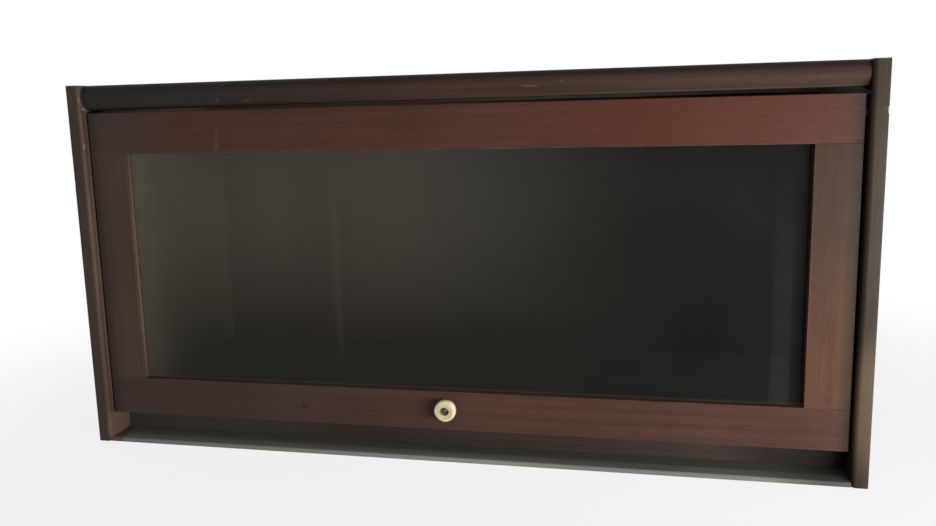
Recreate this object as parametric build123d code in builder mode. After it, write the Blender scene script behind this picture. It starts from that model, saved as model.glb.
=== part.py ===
from build123d import *
import os

# One stacking section of a barrister bookcase: an open-topped wooden case with a
# glazed door that lifts on two pivot pins and slides back under the top rails.
# +X is to the right, +Y into the case, +Z up. The origin is the middle of the
# case's footprint, on the surface that it stands on. Lengths are millimetres.

os.makedirs("parts", exist_ok=True)

# ---- Driving dimensions -------------------------------------------------------

# Case
case_width = 864.0
case_height = 420.0
case_depth = 330.0
end_thickness = 16.0
end_inner_round = 5.0
end_outer_round = 1.5

# Top rails: the front one has a half-round nose
rail_height = 24.5
rail_depth = 40.0
front_rail_setback = 4.0

# Bottom board, risers and shelf, stacked in that order
bottom_thickness = 5.0
bottom_setback = 1.0
bottom_nose_round = 2.0
riser_height = 22.0
riser_thickness = 18.0
riser_setback = 40.0
shelf_thickness = 19.0
shelf_housing = 5.0
felt_thickness = 1.5
felt_height = 12.0

# Back panel, let into a rabbet in each end panel
back_thickness = 8.0
back_rabbet = 8.0

# Door frame: the rails run the full width and the stiles stand between them
door_bottom_z = 34.0
door_top_gap = 6.5
door_side_gap = 2.5
door_setback = 9.0
door_thickness = 20.0
door_edge_round = 1.0
stile_width = 44.0
door_top_rail_width = 47.0
door_bottom_rail_width = 44.0

# Glass, and the beads that hold it from behind
rebate_width = 8.0
frame_lip = 8.0
glass_thickness = 3.0
glass_play = 1.0
bead_width = 7.5
bead_depth = 8.0
bead_round = 3.0

# Knob
knob_radius = 12.5
knob_foot_radius = 8.0
knob_foot_height = 2.0
knob_neck_radius = 6.5
knob_neck_length = 6.0
knob_disc_thickness = 9.0
knob_rim_round = 3.0
knob_recess_radius = 3.6
knob_recess_depth = 4.5
knob_above_door_bottom = 26.5

# Pivot pins, their bushes in the door and their rollers in the end panels
pivot_below_door_top = 18.0
pin_radius = 2.5
pin_collar_radius = 4.5
pin_head_radius = 4.0
pin_head_thickness = 0.6
bush_radius = 4.0
bush_length = 22.0
roller_radius = 6.35
roller_width = 6.5
roller_chamfer = 0.5

# Dowels, screws and glazing pins
dowel_radius = 4.0
dowel_spacing = 16.0
dowel_in_rail = 20.0
dowel_in_frame = 15.0
end_skin = 6.0
screw_head_radius = 3.6
screw_shank_radius = 1.75
screw_sink = 0.3
screw_tip = 4.0
back_screw_length = 22.0
bottom_screw_length = 18.0
screw_end_distance = 45.0
screw_rows_margin = 40.0
screw_column_count = 5
screw_row_count = 3
knob_screw_head_radius = 3.2
knob_screw_head_height = 2.4
knob_screw_shank_radius = 1.9
knob_screw_in_door = 14.0
knob_screw_slot_width = 0.9
knob_screw_slot_depth = 1.0
glazing_pin_radius = 0.6
glazing_pin_length = 15.0
glazing_pin_margin = 40.0
long_bead_pin_count = 5
short_bead_pin_count = 3

# Clearances: between bodies that move, a turning fit, and a glued or driven fit
moving_gap = 0.3
turning_fit = 0.05
seat_fit = 0.05
glue_room = 0.5

# ---- Places worked out from them ----------------------------------------------

front_y = -case_depth / 2
back_y = case_depth / 2
end_outer_x = case_width / 2
end_inner_x = end_outer_x - end_thickness
back_inner_y = back_y - back_thickness
back_panel_x = end_inner_x + back_rabbet
rail_bottom_z = case_height - rail_height
rail_mid_z = rail_bottom_z + rail_height / 2
riser_top_z = bottom_thickness + riser_height
riser_mid_z = bottom_thickness + riser_height / 2
shelf_top_z = riser_top_z + shelf_thickness
shelf_mid_z = riser_top_z + shelf_thickness / 2

front_rail_y = front_y + front_rail_setback
front_rail_mid_y = front_rail_y + rail_depth / 2
back_rail_mid_y = back_inner_y - rail_depth / 2
front_riser_mid_y = front_y + riser_setback + riser_thickness / 2
back_riser_mid_y = back_inner_y - riser_thickness / 2

door_front_y = front_y + door_setback
door_mid_y = door_front_y + door_thickness / 2
door_back_y = door_front_y + door_thickness
door_edge_x = end_inner_x - door_side_gap
door_top_z = rail_bottom_z - door_top_gap
opening_x = door_edge_x - stile_width
opening_bottom_z = door_bottom_z + door_bottom_rail_width
opening_top_z = door_top_z - door_top_rail_width
rebate_x = opening_x + rebate_width
rebate_bottom_z = opening_bottom_z - rebate_width
rebate_top_z = opening_top_z + rebate_width
lip_back_y = door_front_y + frame_lip
glass_back_y = lip_back_y + glass_thickness
bead_mid_y = glass_back_y + bead_depth / 2
bead_back_y = glass_back_y + bead_depth
side_bead_bottom_z = rebate_bottom_z + bead_width
side_bead_top_z = rebate_top_z - bead_width

felt_front_y = door_back_y + moving_gap
shelf_front_y = felt_front_y + felt_thickness
knob_z = door_bottom_z + knob_above_door_bottom
knob_front_y = door_front_y - knob_neck_length - knob_disc_thickness
pivot_z = door_top_z - pivot_below_door_top
groove_radius = roller_radius + moving_gap
groove_depth = roller_width + pin_head_thickness + 2 * moving_gap
dowel_in_end = end_thickness - end_skin
dowel_hole_radius = dowel_radius + seat_fit
glazing_hole_radius = glazing_pin_radius + seat_fit


# ---- Shapes that repeat -------------------------------------------------------


def spread(low, high, count):
    """Evenly spaced values from low to high."""
    step = (high - low) / (count - 1)
    return [low + step * index for index in range(count)]


def circles(plane, places, radius):
    """Sketch of equal circles, for round bars and holes."""
    with BuildSketch(plane) as rounds:
        with Locations(*places):
            Circle(radius)
    return rounds.sketch


def footprint(x_span, y_span, z):
    """Rectangle seen from above, at height z, ready to extrude upwards."""
    with BuildSketch(Plane.XY.offset(z)) as outline:
        with Locations(((x_span[0] + x_span[1]) / 2, (y_span[0] + y_span[1]) / 2)):
            Rectangle(x_span[1] - x_span[0], y_span[1] - y_span[0])
    return outline.sketch


def turned(outline):
    """Solid turned about Z from a closed outline of (radius, height) points."""
    with BuildPart() as body:
        with BuildSketch(Plane.XZ):
            with BuildLine():
                Polyline(*outline, close=True)
            make_face()
        revolve(axis=Axis.Z)
    return body.part


def wood_screw(length):
    """Countersunk screw that points down -Z, sunk a little below the origin."""
    neck = -screw_sink - (screw_head_radius - screw_shank_radius)
    return turned([
        (0, -screw_sink),
        (screw_head_radius, -screw_sink),
        (screw_shank_radius, neck),
        (screw_shank_radius, screw_tip - length),
        (0, -length),
    ])


def screw_hole(length):
    """Countersink and pilot hole for the screw of that length."""
    head = screw_head_radius + seat_fit
    shank = screw_shank_radius + seat_fit
    return turned([
        (0, 0),
        (head, 0),
        (head, -screw_sink),
        (shank, -screw_sink - (head - shank)),
        (shank, -length - seat_fit),
        (0, -length - seat_fit),
    ])


def write_pair(left_part, name):
    """Write the left-hand piece, and its mirror image for the right."""
    left_part.label = "left_" + name
    export_step(left_part, f"parts/left_{name}.step")
    with BuildPart() as right:
        mirror(left_part, about=Plane.YZ)
    right.part.label = "right_" + name
    export_step(right.part, f"parts/right_{name}.step")


# ---- Where the fasteners go ---------------------------------------------------

# Dowels that tie the rails and risers to the end panels, as (y, z)
front_rail_dowels = [(y, rail_mid_z) for y in (
    front_rail_mid_y - dowel_spacing / 2,
    front_rail_mid_y + dowel_spacing / 2,
)]
back_rail_dowels = [(y, rail_mid_z) for y in (
    back_rail_mid_y - dowel_spacing / 2,
    back_rail_mid_y + dowel_spacing / 2,
)]
front_riser_dowels = [(front_riser_mid_y, riser_mid_z)]
back_riser_dowels = [(back_riser_mid_y, riser_mid_z)]
case_dowel_places = (
    front_rail_dowels + back_rail_dowels + front_riser_dowels + back_riser_dowels
)

# Dowels between the door's stiles and rails, as (x, y)
stile_dowel_x = door_edge_x - (stile_width - rebate_width) / 2
door_dowel_places = [(side * stile_dowel_x + shift, door_mid_y)
                     for side in (-1, 1)
                     for shift in (-dowel_spacing / 2, dowel_spacing / 2)]

# Screws through the back panel into the end panels, the back rail and the shelf
back_screw_x = back_panel_x - screw_head_radius - 2 * seat_fit
screw_columns = spread(
    screw_end_distance - end_inner_x,
    end_inner_x - screw_end_distance,
    screw_column_count,
)
screw_rows = spread(
    shelf_top_z + screw_rows_margin,
    pivot_z - screw_rows_margin,
    screw_row_count,
)
back_screw_places = [(x, rail_mid_z) for x in screw_columns]
back_screw_places += [(x, shelf_mid_z) for x in screw_columns]
back_screw_places += [(-back_screw_x, z) for z in screw_rows]
back_screw_places += [(back_screw_x, z) for z in screw_rows]
back_screw_spots = [Location((x, back_y, z), (-90, 0, 0)) for x, z in back_screw_places]
back_screw_hole = screw_hole(back_screw_length)

# Screws up through the bottom board into both risers
bottom_screw_spots = [Location((x, y, 0), (180, 0, 0))
                      for x in screw_columns
                      for y in (front_riser_mid_y, back_riser_mid_y)]
bottom_screw_hole = screw_hole(bottom_screw_length)

# Pins that hold the glazing beads: along the long beads, and up the short ones
long_bead_pins = [(x, bead_mid_y) for x in spread(
    glazing_pin_margin - opening_x,
    opening_x - glazing_pin_margin,
    long_bead_pin_count,
)]
short_bead_pins = [(bead_mid_y, z) for z in spread(
    side_bead_bottom_z + glazing_pin_margin,
    side_bead_top_z - glazing_pin_margin,
    short_bead_pin_count,
)]
glazing_pin_in_frame = glazing_pin_length - bead_width + seat_fit


# ---- End panels ---------------------------------------------------------------

# A long board with a soft inner front corner. Its inside is cut for the door's
# roller groove, the shelf, the back panel and the dowels of rails and risers.
with BuildPart() as end_panel:
    with BuildSketch() as end_plan:
        with Locations((-(end_outer_x + end_inner_x) / 2, 0)):
            Rectangle(end_thickness, case_depth)
        fillet(end_plan.vertices().group_by(Axis.Y)[0].sort_by(Axis.X)[-1], end_inner_round)
        fillet(end_plan.vertices().group_by(Axis.Y)[0].sort_by(Axis.X)[0], end_outer_round)
    extrude(amount=case_height)

    # Roller groove: round at its front stop, open at the back
    with BuildSketch(Plane.YZ.offset(-end_inner_x)):
        with Locations((door_mid_y, pivot_z)):
            Circle(groove_radius)
        with Locations(((door_mid_y + back_y) / 2, pivot_z)):
            Rectangle(back_y - door_mid_y, 2 * groove_radius)
    extrude(amount=-groove_depth, mode=Mode.SUBTRACT)

    # Housing for the shelf, stopped at the shelf's front edge
    extrude(
        footprint(
            (-end_inner_x - shelf_housing, -end_inner_x),
            (shelf_front_y, back_inner_y),
            riser_top_z,
        ),
        amount=shelf_thickness,
        mode=Mode.SUBTRACT,
    )

    # Rabbet for the back panel
    extrude(
        footprint((-back_panel_x, -end_inner_x), (back_inner_y, back_y), 0),
        amount=case_height,
        mode=Mode.SUBTRACT,
    )

    # Blind dowel holes, and the pilot holes of the back panel's screws
    extrude(
        circles(Plane.YZ.offset(-end_inner_x), case_dowel_places, dowel_hole_radius),
        amount=-dowel_in_end,
        mode=Mode.SUBTRACT,
    )
    with Locations(*back_screw_spots):
        add(back_screw_hole, mode=Mode.SUBTRACT)

write_pair(end_panel.part, "end_panel")


# ---- Top rails ----------------------------------------------------------------

# The front rail's section is a rectangle with a half-round nose
with BuildPart() as top_front_rail:
    with BuildSketch(Plane.YZ):
        nose_radius = rail_height / 2
        with Locations((front_rail_y + nose_radius, rail_mid_z)):
            Circle(nose_radius)
        with Locations((front_rail_mid_y + nose_radius / 2, rail_mid_z)):
            Rectangle(rail_depth - nose_radius, rail_height)
    extrude(amount=end_inner_x, both=True)
    for side in (-1, 1):
        extrude(
            circles(Plane.YZ.offset(side * end_inner_x), front_rail_dowels, dowel_hole_radius),
            amount=-side * dowel_in_rail,
            mode=Mode.SUBTRACT,
        )
top_front_rail.part.label = "top_front_rail"
export_step(top_front_rail.part, "parts/top_front_rail.step")

with BuildPart() as top_back_rail:
    extrude(
        footprint(
            (-end_inner_x, end_inner_x),
            (back_inner_y - rail_depth, back_inner_y),
            rail_bottom_z,
        ),
        amount=rail_height,
    )
    for side in (-1, 1):
        extrude(
            circles(Plane.YZ.offset(side * end_inner_x), back_rail_dowels, dowel_hole_radius),
            amount=-side * dowel_in_rail,
            mode=Mode.SUBTRACT,
        )
    with Locations(*back_screw_spots):
        add(back_screw_hole, mode=Mode.SUBTRACT)
top_back_rail.part.label = "top_back_rail"
export_step(top_back_rail.part, "parts/top_back_rail.step")


# ---- Bottom board, risers and shelf -------------------------------------------

# A thin board that shows as a ledge in front of the riser, its top edge rounded
with BuildPart() as bottom_board:
    extrude(
        footprint(
            (-end_inner_x, end_inner_x),
            (front_y + bottom_setback, back_inner_y),
            0,
        ),
        amount=bottom_thickness,
    )
    fillet(
        bottom_board.edges().filter_by(Axis.X).group_by(Axis.Y)[0].sort_by(Axis.Z)[-1],
        bottom_nose_round,
    )
    with Locations(*bottom_screw_spots):
        add(bottom_screw_hole, mode=Mode.SUBTRACT)
bottom_board.part.label = "bottom_board"
export_step(bottom_board.part, "parts/bottom_board.step")

# Both risers are the same strip, on edge, between the end panels
for riser_name, riser_mid_y, riser_dowels in (
    ("front_riser", front_riser_mid_y, front_riser_dowels),
    ("back_riser", back_riser_mid_y, back_riser_dowels),
):
    with BuildPart() as riser:
        extrude(
            footprint(
                (-end_inner_x, end_inner_x),
                (riser_mid_y - riser_thickness / 2, riser_mid_y + riser_thickness / 2),
                bottom_thickness,
            ),
            amount=riser_height,
        )
        for side in (-1, 1):
            extrude(
                circles(Plane.YZ.offset(side * end_inner_x), riser_dowels, dowel_hole_radius),
                amount=-side * dowel_in_rail,
                mode=Mode.SUBTRACT,
            )
        with Locations(*bottom_screw_spots):
            add(bottom_screw_hole, mode=Mode.SUBTRACT)
    riser.part.label = riser_name
    export_step(riser.part, f"parts/{riser_name}.step")

# The shelf that the books stand on; its ends sit in the end panels' housings
with BuildPart() as shelf_board:
    extrude(
        footprint(
            (-end_inner_x - shelf_housing, end_inner_x + shelf_housing),
            (shelf_front_y, back_inner_y),
            riser_top_z,
        ),
        amount=shelf_thickness,
    )
    with Locations(*back_screw_spots):
        add(back_screw_hole, mode=Mode.SUBTRACT)
shelf_board.part.label = "shelf_board"
export_step(shelf_board.part, "parts/shelf_board.step")

# Felt glued to the shelf's front edge: the closed door rests against it
with BuildPart() as shelf_felt:
    extrude(
        footprint(
            (-end_inner_x, end_inner_x),
            (felt_front_y, shelf_front_y),
            shelf_top_z - felt_height,
        ),
        amount=felt_height,
    )
shelf_felt.part.label = "shelf_felt"
export_step(shelf_felt.part, "parts/shelf_felt.step")


# ---- Back panel ---------------------------------------------------------------

with BuildPart() as back_panel:
    extrude(
        footprint((-back_panel_x, back_panel_x), (back_inner_y, back_y), 0),
        amount=case_height,
    )
    with Locations(*back_screw_spots):
        add(back_screw_hole, mode=Mode.SUBTRACT)
back_panel.part.label = "back_panel"
export_step(back_panel.part, "parts/back_panel.step")


# ---- Case fasteners -----------------------------------------------------------

with BuildPart() as case_dowels:
    for side in (-1, 1):
        extrude(
            circles(
                Plane.YZ.offset(side * (end_inner_x + dowel_in_end - glue_room)),
                case_dowel_places,
                dowel_radius,
            ),
            amount=-side * (dowel_in_end + dowel_in_rail - 2 * glue_room),
        )
case_dowels.part.label = "case_dowels"
export_step(case_dowels.part, "parts/case_dowels.step")

back_screw = wood_screw(back_screw_length)
with BuildPart() as back_screws:
    with Locations(*back_screw_spots):
        add(back_screw)
back_screws.part.label = "back_screws"
export_step(back_screws.part, "parts/back_screws.step")

bottom_screw = wood_screw(bottom_screw_length)
with BuildPart() as bottom_screws:
    with Locations(*bottom_screw_spots):
        add(bottom_screw)
bottom_screws.part.label = "bottom_screws"
export_step(bottom_screws.part, "parts/bottom_screws.step")


# ---- Door frame ---------------------------------------------------------------

# Each rail runs the door's full width and is rebated between the stiles. The top
# rail's ends are drilled for the pivot bushes, the bottom rail for the knob.
with BuildPart() as door_top_rail:
    extrude(
        footprint((-door_edge_x, door_edge_x), (door_front_y, door_back_y), opening_top_z),
        amount=door_top_rail_width,
    )
    fillet(door_top_rail.edges().filter_by(Axis.X).group_by(Axis.Z)[-1], door_edge_round)
    fillet(door_top_rail.edges().filter_by(Axis.Z), door_edge_round)
    extrude(
        footprint((-rebate_x, rebate_x), (lip_back_y, door_back_y), opening_top_z),
        amount=rebate_width,
        mode=Mode.SUBTRACT,
    )
    extrude(
        circles(Plane.XY.offset(opening_top_z), door_dowel_places, dowel_hole_radius),
        amount=dowel_in_frame,
        mode=Mode.SUBTRACT,
    )
    extrude(
        circles(Plane.XY.offset(rebate_top_z), long_bead_pins, glazing_hole_radius),
        amount=glazing_pin_in_frame,
        mode=Mode.SUBTRACT,
    )
    for side in (-1, 1):
        extrude(
            circles(
                Plane.YZ.offset(side * door_edge_x),
                [(door_mid_y, pivot_z)],
                bush_radius + seat_fit,
            ),
            amount=-side * (bush_length + glue_room),
            mode=Mode.SUBTRACT,
        )
door_top_rail.part.label = "door_top_rail"
export_step(door_top_rail.part, "parts/door_top_rail.step")

with BuildPart() as door_bottom_rail:
    extrude(
        footprint((-door_edge_x, door_edge_x), (door_front_y, door_back_y), door_bottom_z),
        amount=door_bottom_rail_width,
    )
    fillet(door_bottom_rail.edges().filter_by(Axis.X).group_by(Axis.Z)[0], door_edge_round)
    fillet(door_bottom_rail.edges().filter_by(Axis.Z), door_edge_round)
    extrude(
        footprint((-rebate_x, rebate_x), (lip_back_y, door_back_y), rebate_bottom_z),
        amount=rebate_width,
        mode=Mode.SUBTRACT,
    )
    extrude(
        circles(Plane.XY.offset(opening_bottom_z), door_dowel_places, dowel_hole_radius),
        amount=-dowel_in_frame,
        mode=Mode.SUBTRACT,
    )
    extrude(
        circles(Plane.XY.offset(rebate_bottom_z), long_bead_pins, glazing_hole_radius),
        amount=-glazing_pin_in_frame,
        mode=Mode.SUBTRACT,
    )
    extrude(
        circles(
            Plane.XZ.offset(-door_front_y),
            [(0, knob_z)],
            knob_screw_shank_radius + seat_fit,
        ),
        amount=-knob_screw_in_door - seat_fit,
        mode=Mode.SUBTRACT,
    )
door_bottom_rail.part.label = "door_bottom_rail"
export_step(door_bottom_rail.part, "parts/door_bottom_rail.step")

with BuildPart() as door_stile:
    extrude(
        footprint((-door_edge_x, -opening_x), (door_front_y, door_back_y), opening_bottom_z),
        amount=opening_top_z - opening_bottom_z,
    )
    fillet(door_stile.edges().filter_by(Axis.Z).group_by(Axis.X)[0], door_edge_round)
    extrude(
        footprint((-rebate_x, -opening_x), (lip_back_y, door_back_y), opening_bottom_z),
        amount=opening_top_z - opening_bottom_z,
        mode=Mode.SUBTRACT,
    )
    for level, inwards in ((opening_bottom_z, 1), (opening_top_z, -1)):
        extrude(
            circles(Plane.XY.offset(level), door_dowel_places, dowel_hole_radius),
            amount=inwards * dowel_in_frame,
            mode=Mode.SUBTRACT,
        )
    extrude(
        circles(Plane.YZ.offset(-rebate_x), short_bead_pins, glazing_hole_radius),
        amount=-glazing_pin_in_frame,
        mode=Mode.SUBTRACT,
    )
write_pair(door_stile.part, "door_stile")

with BuildPart() as door_dowels:
    for joint_z in (opening_bottom_z, opening_top_z):
        extrude(
            circles(
                Plane.XY.offset(joint_z - dowel_in_frame + glue_room),
                door_dowel_places,
                dowel_radius,
            ),
            amount=2 * (dowel_in_frame - glue_room),
        )
door_dowels.part.label = "door_dowels"
export_step(door_dowels.part, "parts/door_dowels.step")


# ---- Glass and its beads ------------------------------------------------------

with BuildPart() as glass_pane:
    extrude(
        footprint(
            (glass_play - rebate_x, rebate_x - glass_play),
            (lip_back_y, glass_back_y),
            rebate_bottom_z + glass_play,
        ),
        amount=rebate_top_z - rebate_bottom_z - 2 * glass_play,
    )
glass_pane.part.label = "glass_pane"
export_step(glass_pane.part, "parts/glass_pane.step")

# The long beads run the full rebate and the short ones fit between them. Each has
# one rounded corner: at its back, towards the middle of the opening.
for bead_name, bead_z, inner_side in (
    ("top_glazing_bead", side_bead_top_z, 0),
    ("bottom_glazing_bead", rebate_bottom_z, -1),
):
    with BuildPart() as long_bead:
        extrude(
            footprint((-rebate_x, rebate_x), (glass_back_y, bead_back_y), bead_z),
            amount=bead_width,
        )
        inner_edges = long_bead.edges().filter_by(Axis.X).group_by(Axis.Z)[inner_side]
        fillet(inner_edges.sort_by(Axis.Y)[-1], bead_round)
        extrude(
            circles(Plane.XY.offset(bead_z), long_bead_pins, glazing_hole_radius),
            amount=bead_width,
            mode=Mode.SUBTRACT,
        )
    long_bead.part.label = bead_name
    export_step(long_bead.part, f"parts/{bead_name}.step")

with BuildPart() as short_bead:
    extrude(
        footprint(
            (-rebate_x, bead_width - rebate_x),
            (glass_back_y, bead_back_y),
            side_bead_bottom_z,
        ),
        amount=side_bead_top_z - side_bead_bottom_z,
    )
    inner_edges = short_bead.edges().filter_by(Axis.Z).group_by(Axis.X)[-1]
    fillet(inner_edges.sort_by(Axis.Y)[-1], bead_round)
    extrude(
        circles(Plane.YZ.offset(-rebate_x), short_bead_pins, glazing_hole_radius),
        amount=bead_width,
        mode=Mode.SUBTRACT,
    )
write_pair(short_bead.part, "glazing_bead")

with BuildPart() as glazing_pins:
    for bead_face_z, outwards in ((side_bead_top_z, 1), (side_bead_bottom_z, -1)):
        extrude(
            circles(Plane.XY.offset(bead_face_z), long_bead_pins, glazing_pin_radius),
            amount=outwards * glazing_pin_length,
        )
    for side in (-1, 1):
        extrude(
            circles(
                Plane.YZ.offset(side * (rebate_x - bead_width)),
                short_bead_pins,
                glazing_pin_radius,
            ),
            amount=side * glazing_pin_length,
        )
glazing_pins.part.label = "glazing_pins"
export_step(glazing_pins.part, "parts/glazing_pins.step")


# ---- Knob and its screw -------------------------------------------------------

# Turned knob: a short neck on a small foot, then a thick disc with a soft rim and
# a hole in its face where the screw sits
knob_bore = knob_screw_shank_radius + seat_fit
knob_disc_y = door_front_y - knob_neck_length
knob_recess_y = knob_front_y + knob_recess_depth
with BuildPart() as knob:
    with BuildSketch(Plane.XY.offset(knob_z)) as knob_outline:
        with BuildLine():
            Polyline(
                (knob_bore, door_front_y),
                (knob_foot_radius, door_front_y),
                (knob_neck_radius, door_front_y - knob_foot_height),
                (knob_neck_radius, knob_disc_y),
                (knob_radius, knob_disc_y),
                (knob_radius, knob_front_y),
                (knob_recess_radius, knob_front_y),
                (knob_recess_radius, knob_recess_y),
                (knob_bore, knob_recess_y),
                close=True,
            )
        make_face()
        fillet(knob_outline.vertices().group_by(Axis.X)[-1], knob_rim_round)
    revolve(axis=Axis((0, 0, knob_z), (0, 1, 0)))
knob.part.label = "knob"
export_step(knob.part, "parts/knob.step")

# Slotted round-head screw, from the knob's recess into the door's bottom rail
knob_screw_length = door_front_y - knob_recess_y + knob_screw_in_door
knob_screw_blank = turned([
    (0, knob_screw_head_height),
    (knob_screw_head_radius / 2, knob_screw_head_height),
    (knob_screw_head_radius, knob_screw_head_height / 2),
    (knob_screw_head_radius, 0),
    (knob_screw_shank_radius, 0),
    (knob_screw_shank_radius, screw_tip - knob_screw_length),
    (0, -knob_screw_length),
])
with BuildPart() as knob_screw:
    with Locations(Location((0, knob_recess_y, knob_z), (90, 0, 0))):
        add(knob_screw_blank)
    slot_y = knob_recess_y - knob_screw_head_height
    extrude(
        footprint(
            (-knob_screw_head_radius, knob_screw_head_radius),
            (slot_y, slot_y + knob_screw_slot_depth),
            knob_z - knob_screw_slot_width / 2,
        ),
        amount=knob_screw_slot_width,
        mode=Mode.SUBTRACT,
    )
knob_screw.part.label = "knob_screw"
export_step(knob_screw.part, "parts/knob_screw.step")


# ---- Pivot pins, bushes and rollers -------------------------------------------

# Distances outwards from an end panel's inner face, into its groove
pin_head_in = roller_width + moving_gap
pin_head_out = pin_head_in + pin_head_thickness
pivot_place = [(door_mid_y, pivot_z)]

# Brass bush in each end of the door's top rail
with BuildPart() as pivot_bush:
    extrude(
        circles(Plane.YZ.offset(-door_edge_x), pivot_place, bush_radius),
        amount=bush_length,
    )
    extrude(
        circles(Plane.YZ.offset(-door_edge_x), pivot_place, pin_radius + turning_fit),
        amount=bush_length,
        mode=Mode.SUBTRACT,
    )
write_pair(pivot_bush.part, "pivot_bush")

# Steel pin: its shank turns in the bush, its collar keeps the door off the end
# panel, and its head keeps the roller on
with BuildPart() as pivot_pin:
    extrude(
        circles(Plane.YZ.offset(-end_inner_x - pin_head_out), pivot_place, pin_radius),
        amount=pin_head_out + door_side_gap + bush_length,
    )
    extrude(
        circles(Plane.YZ.offset(-end_inner_x - pin_head_out), pivot_place, pin_head_radius),
        amount=pin_head_thickness,
    )
    extrude(
        circles(Plane.YZ.offset(moving_gap - end_inner_x), pivot_place, pin_collar_radius),
        amount=door_side_gap - 2 * moving_gap,
    )
write_pair(pivot_pin.part, "pivot_pin")

# Roller that carries the pin along the groove
with BuildPart() as roller:
    extrude(
        circles(Plane.YZ.offset(-end_inner_x - roller_width), pivot_place, roller_radius),
        amount=roller_width,
    )
    chamfer(roller.edges().filter_by(GeomType.CIRCLE), roller_chamfer)
    extrude(
        circles(
            Plane.YZ.offset(-end_inner_x - roller_width),
            pivot_place,
            pin_radius + turning_fit,
        ),
        amount=roller_width,
        mode=Mode.SUBTRACT,
    )
write_pair(roller.part, "roller")
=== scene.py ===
import math

import bmesh
import bpy
from mathutils import Euler, Matrix, Vector


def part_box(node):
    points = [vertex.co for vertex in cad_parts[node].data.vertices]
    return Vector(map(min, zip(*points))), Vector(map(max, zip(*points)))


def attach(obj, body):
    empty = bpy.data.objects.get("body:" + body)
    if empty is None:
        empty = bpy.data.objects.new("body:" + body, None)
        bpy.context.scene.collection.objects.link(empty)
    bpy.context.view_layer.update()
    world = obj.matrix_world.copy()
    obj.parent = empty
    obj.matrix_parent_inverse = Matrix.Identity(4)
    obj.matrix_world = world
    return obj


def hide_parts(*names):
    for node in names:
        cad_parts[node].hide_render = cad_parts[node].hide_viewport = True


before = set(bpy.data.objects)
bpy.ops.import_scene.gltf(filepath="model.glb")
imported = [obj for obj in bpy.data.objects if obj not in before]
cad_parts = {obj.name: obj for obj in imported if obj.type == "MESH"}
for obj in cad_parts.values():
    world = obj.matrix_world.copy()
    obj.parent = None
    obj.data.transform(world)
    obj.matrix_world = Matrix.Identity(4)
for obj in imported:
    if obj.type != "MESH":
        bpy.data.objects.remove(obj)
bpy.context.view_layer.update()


# ---- End panels ---------------------------------------------------------------
# Each side of the case is one upright board, planed, stained a dark red-brown and
# varnished. Its front corners are rounded, and handling has rubbed the stain off
# them in places. One nick shows on the right-hand board's outer corner.


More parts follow.
